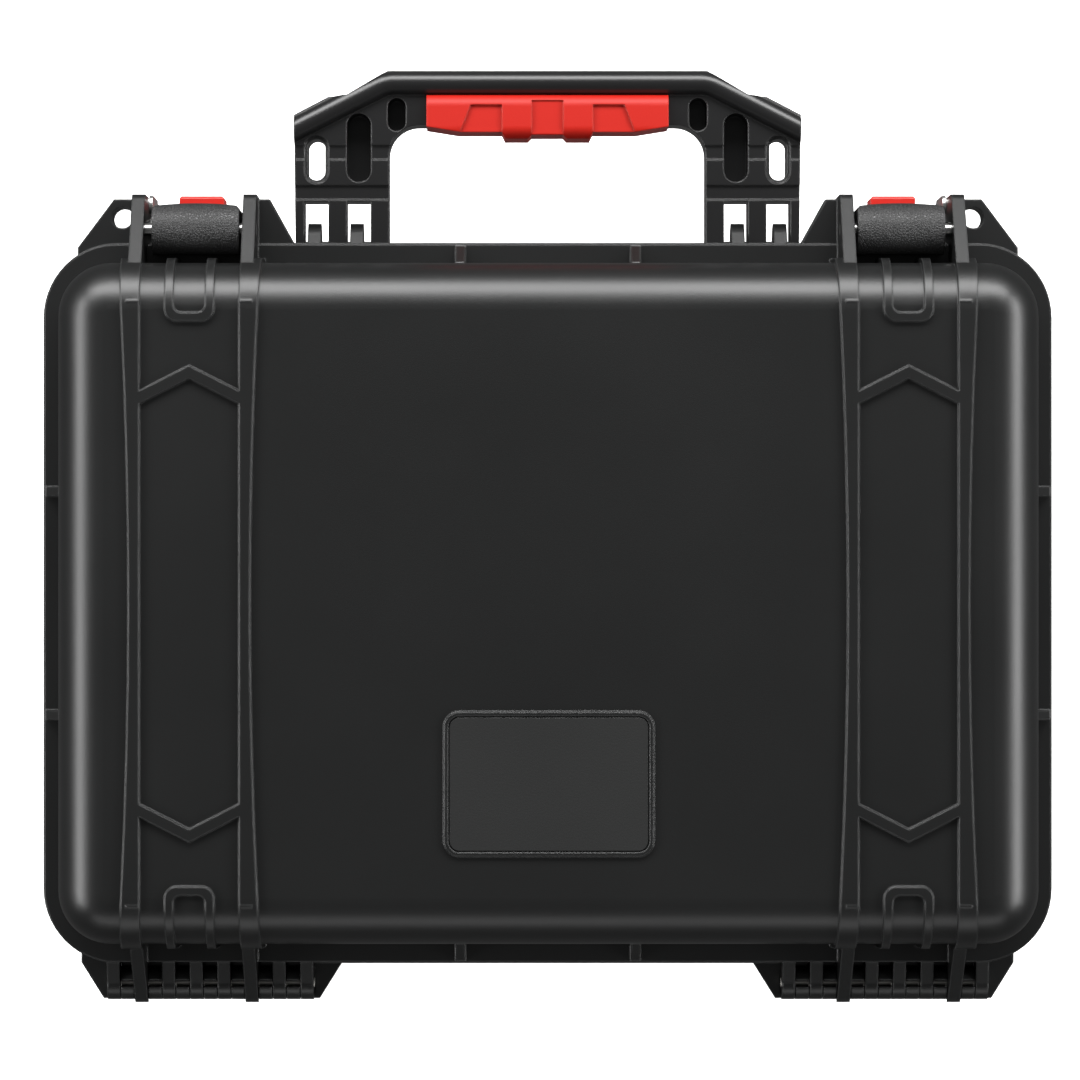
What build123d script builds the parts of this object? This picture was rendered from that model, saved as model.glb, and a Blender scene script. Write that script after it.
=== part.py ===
from build123d import *
import math
import os

os.makedirs("parts", exist_ok=True)

# A hard carrying case for a camera drone, in millimetres. It lies on the back of its
# base, +Z points up through the lid, -Y is the side with the handle and the latches
# and +Y the side with the hinges. The origin is on the resting plane, at the middle
# of the flange outline. "Left" is -X.

# ---------------------------------------------------------------- overall sizes
case_width = 336.0          # X, over the base flange
case_length = 240.0         # Y, over the base flange
base_height = 94.0          # resting plane to seam
lid_height = 44.0           # seam to the top of the raised bands
wall = 3.0
band_rise = 1.6             # raised bands and chevrons above the shell

# ---------------------------------------------------------------- shells and flange
flange_side = 6.5           # flange overhang, left and right
flange_front = 7.5          # flange overhang, front and rear
flange_height = 8.0         # of each half
flange_corner = 25.0
lid_step = 1.0              # the lid flange stands back from the base flange
body_corner = 18.5
lid_draft = 2.0
base_draft = 1.5
lid_edge = 16.0             # rounding of the lid's face into its walls
base_edge = 13.0
gusset_thick = 3.0
gusset_reach = 8.0
gusset_x = 29.0             # gussets on the front and rear flange
gusset_y = 37.0             # gussets on the side flanges

# ---------------------------------------------------------------- seal
groove_inset = 2.0          # lid flange edge to the seal groove
groove_width = 3.6
groove_depth = 4.2
tongue_width = 2.4
tongue_height = 2.0
seal_gap = 0.1

# ---------------------------------------------------------------- ribs and latch bays
bay_centre = 116.7          # X of each latch bay
bay_width = 32.4            # between the two ribs of a bay
rib_thick = 4.3
rib_front = 15.0            # rib nose in front of the flange
rib_run = 98.0              # Y where the ribs run out on the lid's face
band_waist = 3.5            # width of a raised band at mid length
band_end = 7.2              # and at its ends
chevron_tip = 77.3          # Y of the outer tip
chevron_drop = 8.2          # tip to the ends of the chevron
chevron_width = 4.2
loop_width = 16.0           # U-shaped loops at the ends of the bays
loop_rib = 2.8
loop_end = 91.7             # Y of the closed end
loop_corner = 4.0

# ---------------------------------------------------------------- padlock ears
ear_thick = 6.0             # of each half, next to the seam
ear_out = 18.9              # ear reach outside the outer rib, at the flange
ear_nose = 6.8              # and at its front edge
ear_in = 11.8               # reach inside the inner rib, at the flange
ear_in_nose = 3.8
padlock_r = 3.5
padlock_x = 6.2             # from the middle of the outer rib
padlock_y = 8.0             # in front of the flange

# ---------------------------------------------------------------- hinges
hinge_reach = 6.4           # hinge axis behind the flange
barrel_r = 5.6
rib_end_r = 6.6             # rounded rear end of a lid rib, round the hinge axis
hinge_pin_r = 1.5
hinge_fit = 0.08            # radial, lid knuckles on the pin
pin_seat = 0.03             # radial, where a pin is held
knuckle_gap = 0.25
channel_gap = 0.4           # radial, round the barrels
bracket_margin = 1.6        # bracket beyond the row of knuckles
bracket_splay = 7.5         # wider at the flange
bracket_top = 4.0           # its top edge under the seam
bracket_depth = 14.0        # its underside under the seam
window_width = 2.2          # slot that shows the pin
nose_r = 4.0                # rounded noses of the base ribs and of the front ribs
nose_back = 2.6             # rear nose centre behind the hinge axis
nose_drop = 12.0            # and below it

# ---------------------------------------------------------------- latches
latch_width = 28.6
latch_gap = 1.1             # on the side nearer the middle of the case
latch_pin_out = 3.3         # lever pin in front of the flange
latch_pin_up = 17.0         # and above the seam
latch_pin_r = 2.0
pivot_fit = 0.05            # radial, every turning joint of the latches and handle
latch_barrel_r = 8.4
latch_length = 47.0         # pin to the end of the tail
latch_crown = 1.0           # how far the middle of the outer face bulges
latch_corner = 1.6          # its rounded long edges
latch_stock = 0.3           # of the side outline that the crown and the flat rear take off
latch_back = 1.6            # inner face behind the pin's centre
latch_skin = 3.4
latch_pocket_low = 3.5      # hollow behind the outer face, from the end of the tail
latch_pocket_top = 13.0     # and from the lever pin
button_width = 15.0
button_gap = 0.3
button_low = 68.0           # Z of the release's lower and upper edges, base 94 high
button_height = 15.5
button_proud = 4.7
rocker_pin_r = 1.25
rocker_pin_up = 3.2         # rocker pin above the release's lower edge
rocker_pin_in = 4.7         # and behind the lever's outer face
rocker_pin_half = 12.6      # half its length
button_rim = 1.3            # window above the release, for the thumb
catch_half = 8.5            # half the width of the lip that holds the hook
catch_lip = 1.4             # lip under the base flange that holds the hook
hook_bite = 1.2             # hook tip above the lip's edge
hook_gap = 0.5
spring_r = 2.4
spring_length = 4.4
guard_thick = 1.2
guard_nose_r = 3.0
guard_rivet_r = 1.5
rivet_head = 0.9            # head wider than the shank, all round
rivet_head_thick = 0.7

# ---------------------------------------------------------------- handle
handle_pivot_out = 7.0      # pivot in front of the shell wall
handle_pivot_down = 16.0    # and below the seam
handle_reach = 58.8         # pivot to the outside of the bar
arm_in = 53.0               # inner face of an arm
arm_width = 31.4
arm_half = 6.5              # half the thickness of an arm
arm_shoulder = (0.6, 14.7)  # outer corner: outside the arm, and from the top of the bar
arm_brow = (10.9, 8.7)      # next corner, in from the arm's outer face
bar_foot = (17.3, 8.1)      # where the raised end of the bar starts
bar_end = 30.8              # where its top edge starts
bar_front = 10.0            # bar face towards the lid
bar_depth = 18.2
bar_r = 3.9                 # round ridge along the bar and down to the arms
ridge_bend = 12.0
ridge_drop = 15.5           # from the bar to the outer face of an arm
inner_corner = 10.0         # rounding of the hand opening
side_pocket = (6.0, 11.0)   # blind pockets beside the grip
slot_width = 8.0
slot_rim = 1.1              # step round the through slots
arm_wall_out = 3.0          # arm wall outside the outer slot
arm_wall_mid = 6.2
cross_bar = 6.1             # bar between a slot and the boss window
cross_bar_out = 15.0        # its inner edge from the pivot
boss_r = 8.0
boss_gap = 1.8              # each side of a boss in its window, on average
boss_shift = 0.7            # bosses stand nearer the outer side of their windows
boss_foot = 16.0            # foot of a boss below the pivot
band_groove = 4.8           # width of the shallow grooves across the arms
band_groove_depth = 0.8
handle_pin_r = 2.0
grip_half = 40.5
grip_skin = 3.0             # soft layer inside the hand opening
grip_sink = 2.0             # the bar is thinner by this under the grip, each face
grip_rise = 0.6             # grip above the round ridge
grip_round = 4.0            # towards the fingers
grip_groove = 0.9           # depth of the finger panels
grip_low = (4.7, 3.5, 2.6)  # lower edge inside the bar: full ribs, middle and side panels
grip_end_low = 0.8          # and at the ends
grip_rib = (5.3, 6.5, 14.2, 15.2)       # X of the flanks of a full rib
grip_panel = (25.7, 29.3)   # X of a side panel's outer edge, at its top and bottom

# ---------------------------------------------------------------- name plate
plate_width = 65.2
plate_height = 44.0
plate_thick = 1.2
plate_corner = 3.6
plate_frame = 1.5
plate_y = 58.5

# ---------------------------------------------------------------- pressure valve
valve_z = 55.0
valve_r = 9.5
valve_thick = 4.5
valve_bevel = 1.2
valve_stem_r = 6.0
valve_wall = 2.0
valve_boss = 1.2
ring_mid = 7.3              # square-section O-ring, to the middle of its section
ring_r = 0.6                # half its section
nut_flats = 17.0
nut_thick = 3.5

# ---------------------------------------------------------------- ring on the back
rest_ring = (150.0, 110.0)
rest_corner = 12.0
rest_ring_width = 4.0

# ---------------------------------------------------------------- foam
foam_gap = 0.6
foam_floor_thick = 10.0
foam_step = 2.0             # foam surface under the seam
lid_foam_thick = 36.0
drone_pocket = (224.0, 92.0)
remote_pocket = (148.0, 90.0)
pack_pocket = (40.0, 90.0)
pack_count = 3
charger_pocket = (56.0, 92.0)
pocket_corner = 10.0
pocket_web = 11.0

# ---------------------------------------------------------------- worked-out places
seam = base_height
lid_face = seam + lid_height - band_rise
front = -case_length / 2
rear = case_length / 2
body_width = case_width - 2 * flange_side
body_length = case_length - 2 * flange_front
rib_offset = (bay_width + rib_thick) / 2
inner_rib = bay_centre - rib_offset
outer_rib = bay_centre + rib_offset
rib_tip = front - rib_front
knuckle_pitch = rib_offset / 2
base_gap = rib_thick + 2 * knuckle_gap
base_knuckle = knuckle_pitch - base_gap
hinge_y = rear + hinge_reach
row_start = bay_centre - 4 * knuckle_pitch - rib_thick / 2 - knuckle_gap
row_end = bay_centre + 3 * knuckle_pitch + rib_thick / 2 + knuckle_gap
latch_in = bay_centre - bay_width / 2 + latch_gap
latch_middle = latch_in + latch_width / 2
latch_pin_y = front - latch_pin_out
latch_pin_z = seam + latch_pin_up
latch_face = latch_pin_y - latch_barrel_r
latch_inner = latch_pin_y + latch_back
latch_tail = latch_pin_z - latch_length
button_z = button_low + seam - 94.0
rocker_y = latch_face + rocker_pin_in
rocker_z = button_z + rocker_pin_up
ledge = seam - flange_height
handle_y = front + flange_front - handle_pivot_out
handle_z = seam - handle_pivot_down
handle_top = handle_y - handle_reach
arm_out = arm_in + arm_width
wall_y = front + flange_front
valve_seat = wall_y - valve_boss
valve_inside = wall_y + wall + valve_boss + 1.5


lid_plane = Plane.XY.offset(seam)
base_plane = Plane(origin=(0, 0, seam), x_dir=(1, 0, 0), z_dir=(0, 0, -1))
SIDES = {"left": -1, "right": 1}


def tub(plane, grow, height, edge, draft):
    """A drafted box with rounded corners and a filleted closed end, standing on a plane."""
    with BuildPart() as shape:
        with BuildSketch(plane):
            RectangleRounded(body_width + 2 * grow, body_length + 2 * grow, body_corner + grow)
        extrude(amount=height + grow, taper=draft)
        closed_end = shape.faces().sort_by(Axis(plane.origin, plane.z_dir))[-1]
        fillet(closed_end.edges(), radius=edge + grow)
    return shape.part


def raised_pattern(plane, thickness, marks):
    """Bands beside both bays as one prism, with a chevron and a loop at each end in marks."""
    half = case_length / 2 - lid_step
    low = chevron_tip - chevron_drop
    reach = half - loop_end + loop_corner
    with BuildPart() as prism:
        with BuildSketch(plane):
            for side in (-1, 1):
                for outward in (-1, 1):
                    face = side * (bay_centre + outward * bay_width / 2)
                    waist = face + side * outward * band_waist
                    flare = face + side * outward * band_end
                    with BuildLine():
                        ThreePointArc((flare, -half), (waist, 0), (flare, half))
                        Polyline((flare, half), (face, half), (face, -half), (flare, -half))
                    make_face()
                for end in marks:
                    ends = (side * (bay_centre - bay_width / 2), side * (bay_centre + bay_width / 2))
                    with BuildLine():
                        Polyline(
                            (ends[0], end * low),
                            (side * bay_centre, end * chevron_tip),
                            (ends[1], end * low),
                            (ends[1], end * (low - chevron_width)),
                            (side * bay_centre, end * (chevron_tip - chevron_width)),
                            (ends[0], end * (low - chevron_width)),
                            close=True,
                        )
                    make_face()
                    with Locations((side * bay_centre, end * (loop_end + reach / 2))):
                        RectangleRounded(loop_width, reach, loop_corner)
                        RectangleRounded(
                            loop_width - 2 * loop_rib,
                            reach - 2 * loop_rib,
                            loop_corner - loop_rib / 2,
                            mode=Mode.SUBTRACT,
                        )
        extrude(amount=thickness)
    return prism.part


def hull_plate(x, thickness, discs):
    """A plate across X, its outline the hull of discs given as (y, z, radius)."""
    rims = [Edge.make_circle(radius, Plane((y, z, 0))) for y, z, radius in discs]
    with BuildPart() as plate:
        with BuildSketch(Plane.YZ.offset(x)):
            make_hull(rims)
        extrude(amount=thickness / 2, both=True)
    return plate.part


def outline_plate(x, thickness, points):
    """A plate across X with a polygonal outline in Y and Z."""
    with BuildPart() as plate:
        with BuildSketch(Plane.YZ.offset(x)):
            with BuildLine():
                Polyline(*points, close=True)
            make_face()
        extrude(amount=thickness / 2, both=True)
    return plate.part


def rod(start, end, y, z, radius):
    """A round bar along X."""
    with BuildPart() as bar:
        with BuildSketch(Plane.YZ.offset(start)):
            with Locations((y, z)):
                Circle(radius)
        extrude(amount=end - start)
    return bar.part


def brick(x_span, y_span, z_span):
    """A rectangular block between the given limits."""
    middle = [(low + high) / 2 for low, high in (x_span, y_span, z_span)]
    size = [abs(high - low) for low, high in (x_span, y_span, z_span)]
    with BuildPart() as block:
        with Locations(tuple(middle)):
            Box(*size)
    return block.part


def ears(z_low, trim):
    """The four ears of one half next to the seam, outside and inside the latch ribs."""
    with BuildPart() as plates:
        with BuildSketch(Plane.XY.offset(z_low)):
            for side in (-1, 1):
                outer_face = outer_rib + rib_thick / 2
                inner_face = inner_rib - rib_thick / 2
                root = front + flange_front
                with BuildLine():
                    Polyline(
                        (side * outer_rib, root),
                        (side * (outer_face + ear_out), root),
                        (side * (outer_face + ear_out), front + 2),
                        (side * (outer_face + ear_nose), rib_tip + trim),
                        (side * outer_rib, rib_tip + trim),
                        close=True,
                    )
                make_face()
                with BuildLine():
                    Polyline(
                        (side * inner_rib, root),
                        (side * (inner_face - ear_in), root),
                        (side * (inner_face - ear_in), front),
                        (side * (inner_face - ear_in_nose), rib_tip + trim),
                        (side * inner_rib, rib_tip + trim),
                        close=True,
                    )
                make_face()
                with Locations((side * (outer_rib + padlock_x), front - padlock_y)):
                    Circle(padlock_r, mode=Mode.SUBTRACT)
        extrude(amount=ear_thick)
    return plates.part


def knuckles(places, width, up):
    """Hinge knuckles of one half with their webs: up is 1 on the lid and -1 on the base."""
    root = rear - lid_step - groove_inset / 2
    with BuildPart() as row:
        for x in places:
            with BuildSketch(Plane.YZ.offset(x)):
                with BuildLine():
                    Polyline(
                        (root, seam),
                        (hinge_y, seam),
                        (hinge_y, seam + up * barrel_r),
                        (root, seam + up * flange_height),
                        close=True,
                    )
                make_face()
                with Locations((hinge_y, seam)):
                    Circle(barrel_r)
            extrude(amount=width / 2, both=True)
    return row.part


def gussets(z_flange, up):
    """Small triangular gussets between the flange and the shell walls."""
    reach_front = flange_front - lid_step - 0.5
    reach_side = flange_side - lid_step - 0.5
    sink = 2.0
    with BuildPart() as ribs:
        for x in (-gusset_x, gusset_x):
            for end in (-1, 1):
                with BuildSketch(Plane.YZ.offset(x)):
                    with BuildLine():
                        Polyline(
                            (end * (body_length / 2 - sink), z_flange),
                            (end * (body_length / 2 + reach_front), z_flange),
                            (end * (body_length / 2), z_flange + up * gusset_reach),
                            (end * (body_length / 2 - sink), z_flange + up * gusset_reach),
                            close=True,
                        )
                    make_face()
                extrude(amount=gusset_thick / 2, both=True)
        for y in (-gusset_y, gusset_y):
            for end in (-1, 1):
                with BuildSketch(Plane.XZ.offset(-y)):
                    with BuildLine():
                        Polyline(
                            (end * (body_width / 2 - sink), z_flange),
                            (end * (body_width / 2 + reach_side), z_flange),
                            (end * (body_width / 2), z_flange + up * gusset_reach),
                            (end * (body_width / 2 - sink), z_flange + up * gusset_reach),
                            close=True,
                        )
                    make_face()
                extrude(amount=gusset_thick / 2, both=True)
    return ribs.part


def flange_ring(z_low, shrink, height):
    """The rounded flange of one half, still filled in."""
    with BuildPart() as ring:
        with BuildSketch(Plane.XY.offset(z_low)):
            RectangleRounded(case_width - 2 * shrink, case_length - 2 * shrink, flange_corner - shrink)
        extrude(amount=height)
    return ring.part


def seal_ring(z_low, height, width):
    """A ring along the middle of the seal groove."""
    inset = lid_step + groove_inset + groove_width / 2
    outer = inset - width / 2
    inner = inset + width / 2
    with BuildPart() as ring:
        with BuildSketch(Plane.XY.offset(z_low)):
            RectangleRounded(case_width - 2 * outer, case_length - 2 * outer, flange_corner - outer)
            RectangleRounded(
                case_width - 2 * inner,
                case_length - 2 * inner,
                flange_corner - inner,
                mode=Mode.SUBTRACT,
            )
        extrude(amount=height)
    return ring.part


# ---------------------------------------------------------------- shared hinge shapes
lid_height_shell = lid_height - band_rise
base_height_shell = base_height - band_rise
lid_places = [side * (bay_centre + k * knuckle_pitch) for side in (-1, 1) for k in range(-4, 4)]
base_places = [side * (bay_centre + (k + 0.5) * knuckle_pitch) for side in (-1, 1) for k in range(-4, 3)]
rib_places = [side * x for side in (-1, 1) for x in (inner_rib, outer_rib)]
rows = [sorted((side * row_start, side * row_end)) for side in (-1, 1)]
channels = [rod(low, high, hinge_y, seam, barrel_r + channel_gap) for low, high in rows]
lid_bores = [rod(low - 1, high + 1, hinge_y, seam, hinge_pin_r + hinge_fit) for low, high in rows]
base_bores = [rod(low, high, hinge_y, seam, hinge_pin_r + pin_seat) for low, high in rows]
rib_top = (rib_run, lid_face + band_rise - 1.0, 1.0)

# ---------------------------------------------------------------- lid shell
lid_grown = tub(lid_plane, band_rise, lid_height_shell, lid_edge, lid_draft)
lid_dome = tub(lid_plane, 0, lid_height_shell, lid_edge, lid_draft)
lid_cavity = tub(lid_plane, -wall, lid_height_shell, lid_edge, lid_draft)
lid_pattern = raised_pattern(lid_plane, lid_height, (-1, 1))
lid_front_ribs = [
    hull_plate(
        x,
        rib_thick,
        (
            (rib_tip + 0.5, seam + 0.5, 0.5),
            (rib_tip + nose_r, seam + 15.0, nose_r),
            (-rib_top[0], *rib_top[1:]),
            (wall_y + flange_front, seam + 1.0, 1.0),
        ),
    )
    for x in rib_places
]
lid_rear_ribs = [
    hull_plate(
        x,
        rib_thick,
        (
            (hinge_y, seam, rib_end_r),
            rib_top,
            (-wall_y - flange_front, seam + 1.0, 1.0),
        ),
    )
    for x in rib_places
]
below_seam = brick((-case_width, case_width), (-case_length, case_length), (seam - 40.0, seam))
lid_flange = flange_ring(seam, lid_step, flange_height)
lid_ears = ears(seam, 0.9)
lid_knuckles = knuckles(lid_places, rib_thick, 1)
lid_gussets = gussets(seam + flange_height, 1)
seal_groove = seal_ring(seam, groove_depth, groove_width)
lever_pin_bores = [rod(low, high, latch_pin_y, latch_pin_z, latch_pin_r + pin_seat) for low, high in (
    (-outer_rib - rib_thick, -inner_rib + rib_thick), (inner_rib - rib_thick, outer_rib + rib_thick))]

with BuildPart() as lid_shell:
    add(lid_grown)
    add(lid_pattern, mode=Mode.INTERSECT)
    add(lid_dome)
    add(lid_front_ribs)
    add(lid_rear_ribs)
    add(below_seam, mode=Mode.SUBTRACT)
    add(lid_flange)
    add(lid_ears)
    add(lid_gussets)
    with BuildSketch(Plane.XY.offset(lid_face - 0.5)):
        with Locations((0, plate_y)):
            RectangleRounded(
                plate_width + 2 * plate_frame, plate_height + 2 * plate_frame, plate_corner + plate_frame
            )
            RectangleRounded(plate_width, plate_height, plate_corner, mode=Mode.SUBTRACT)
    extrude(amount=0.5 + plate_thick)
    add(lid_cavity, mode=Mode.SUBTRACT)
    add(seal_groove, mode=Mode.SUBTRACT)
    add(lid_knuckles)
    add(lid_bores, mode=Mode.SUBTRACT)
    add(lever_pin_bores, mode=Mode.SUBTRACT)
lid_shell.part.label = "lid_shell"
export_step(lid_shell.part, "parts/lid_shell.step")

# ---------------------------------------------------------------- base shell
base_grown = tub(base_plane, band_rise, base_height_shell, base_edge, base_draft)
base_dome = tub(base_plane, 0, base_height_shell, base_edge, base_draft)
base_cavity = tub(base_plane, -wall, base_height_shell, base_edge, base_draft)
base_pattern = raised_pattern(base_plane, base_height, ())
base_front_ribs = [
    hull_plate(
        x,
        rib_thick,
        (
            (rib_tip + 0.5, seam - 0.5, 0.5),
            (rib_tip + nose_r, seam - 27.0, nose_r),
            (wall_y + 3.0, seam - 54.0, 1.0),
            (wall_y + flange_front, seam - 1.0, 1.0),
        ),
    )
    for x in rib_places
]
base_rear_ribs = [
    hull_plate(
        x,
        rib_thick,
        (
            (hinge_y + nose_back, seam - nose_drop, nose_r),
            (hinge_y, seam - bracket_top - 1.0, 1.0),
            (-wall_y - 3.0, seam - 54.0, 1.0),
            (-wall_y - flange_front, seam - 1.0, 1.0),
        ),
    )
    for x in rib_places
]
base_flange = flange_ring(seam - flange_height, 0, flange_height)
base_ears = ears(seam - ear_thick, 0.6)
base_knuckles = knuckles(base_places, base_knuckle, -1)
base_gussets = gussets(seam - flange_height, -1)
tongue = seal_ring(seam, tongue_height, tongue_width)
# room for the lid's rounded rib ends, closed and swung open
rib_channels = [
    rod(x - base_gap / 2, x + base_gap / 2, hinge_y, seam, rib_end_r + channel_gap) for x in rib_places
]
rib_notches = [
    brick(
        (x - base_gap / 2, x + base_gap / 2),
        (hinge_y, hinge_y + 2 * rib_end_r),
        (seam - rib_end_r - channel_gap, seam),
    )
    for x in rib_places
]
pin_windows = [
    brick((low, high), (hinge_y - window_width / 2, hinge_y + window_width / 2), (seam, seam + 10.0))
    for low, high in rows
]
catches = [
    brick(
        (side * latch_middle - catch_half, side * latch_middle + catch_half),
        (front, front + catch_lip),
        (ledge - catch_lip, ledge + 1.0),
    )
    for side in (-1, 1)
]
slot_places = [arm_out - arm_wall_out - slot_width / 2 - k * (slot_width + arm_wall_mid) for k in (0, 1)]
bosses = [
    hull_plate(
        side * (x + boss_shift),
        slot_width - 2 * boss_gap,
        (
            (handle_y, handle_z, boss_r),
            (wall_y + 4.0, ledge + 1.0, 1.0),
            (front + 1.0, ledge + 1.0, 1.0),
            (wall_y + 4.0, handle_z - boss_foot, 1.0),
        ),
    )
    for side in (-1, 1)
    for x in slot_places
]
handle_pin_spans = [sorted((side * (arm_in + 1.0), side * (arm_out - 1.0))) for side in (-1, 1)]
boss_bores = [rod(low, high, handle_y, handle_z, handle_pin_r + pin_seat) for low, high in handle_pin_spans]
guard_x = outer_rib - rib_thick / 2 - guard_thick
outer_face = outer_rib + rib_thick / 2
rivet_places = ((rib_tip + guard_nose_r, seam - 20.0), (front - 4.5, seam - 17.0))
rivet_holes = [
    rod(*sorted((side * guard_x, side * (outer_rib + rib_thick))), y, z, guard_rivet_r + pin_seat)
    for side in (-1, 1)
    for y, z in rivet_places
]

with BuildPart() as base_shell:
    add(base_grown)
    add(base_pattern, mode=Mode.INTERSECT)
    add(base_dome)
    add(base_front_ribs)
    add(base_rear_ribs)
    add(base_flange)
    add(base_ears)
    add(base_gussets)
    add(bosses)
    add(catches)
    # trapezoidal hinge brackets, wider at the flange
    with BuildSketch(Plane.XY.offset(seam - bracket_depth)):
        for side in (-1, 1):
            with BuildLine():
                Polyline(
                    (side * (row_start - bracket_margin - bracket_splay), rear - flange_front - 1.0),
                    (side * (row_start - bracket_margin - bracket_splay), rear),
                    (side * (row_start - bracket_margin), hinge_y + barrel_r),
                    (side * (row_end + bracket_margin), hinge_y + barrel_r),
                    (side * (row_end + bracket_margin + bracket_splay), rear),
                    (side * (row_end + bracket_margin + bracket_splay), rear - flange_front - 1.0),
                    close=True,
                )
            make_face()
    extrude(amount=bracket_depth - bracket_top)
    # ring on the back between the bands, for the case to lie on
    with BuildSketch(Plane.XY):
        RectangleRounded(*rest_ring, rest_corner)
        offset(amount=-rest_ring_width, mode=Mode.SUBTRACT)
    extrude(amount=band_rise + 0.5)
    # boss for the pressure valve
    with BuildSketch(Plane.XZ.offset(-wall_y - wall - 1.0)):
        with Locations((0, valve_z)):
            Circle(valve_r + 2.0)
    extrude(amount=wall + 1.0 + valve_boss)
    add(base_cavity, mode=Mode.SUBTRACT)
    with BuildSketch(Plane.XZ.offset(-valve_inside)):
        with Locations((0, valve_z)):
            Circle(valve_r + 2.0)
    extrude(amount=valve_inside - wall_y - wall / 2)
    with BuildSketch(Plane.XZ.offset(-valve_inside - 1.0)):
        with Locations((0, valve_z)):
            Circle(valve_stem_r + 0.1)
    extrude(amount=4 * wall, mode=Mode.SUBTRACT)
    add(tongue)
    add(channels, mode=Mode.SUBTRACT)
    add(rib_channels, mode=Mode.SUBTRACT)
    add(rib_notches, mode=Mode.SUBTRACT)
    add(base_knuckles)
    add(base_bores, mode=Mode.SUBTRACT)
    add(pin_windows, mode=Mode.SUBTRACT)
    add(boss_bores, mode=Mode.SUBTRACT)
    add(rivet_holes, mode=Mode.SUBTRACT)
base_shell.part.label = "base_shell"
export_step(base_shell.part, "parts/base_shell.step")

# ---------------------------------------------------------------- seal and name plate
gasket = seal_ring(seam + tongue_height + seal_gap, groove_depth - tongue_height - seal_gap, groove_width)
with BuildPart() as lid_gasket:
    add(gasket)
lid_gasket.part.label = "lid_gasket"
export_step(lid_gasket.part, "parts/lid_gasket.step")

with BuildPart() as nameplate:
    with BuildSketch(Plane.XY.offset(lid_face)):
        with Locations((0, plate_y)):
            RectangleRounded(plate_width - 0.3, plate_height - 0.3, plate_corner - 0.15)
    extrude(amount=plate_thick - 0.3)
    chamfer(nameplate.faces().sort_by(Axis.Z)[-1].edges(), length=0.3)
nameplate.part.label = "nameplate"
export_step(nameplate.part, "parts/nameplate.step")

# ---------------------------------------------------------------- hinge pins
for (low, high), side_name in zip(rows, SIDES):
    hinge_rod = rod(low, high, hinge_y, seam, hinge_pin_r)
    with BuildPart() as hinge_pin:
        add(hinge_rod)
    hinge_pin.part.label = f"hinge_pin_{side_name}"
    export_step(hinge_pin.part, f"parts/hinge_pin_{side_name}.step")

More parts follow.
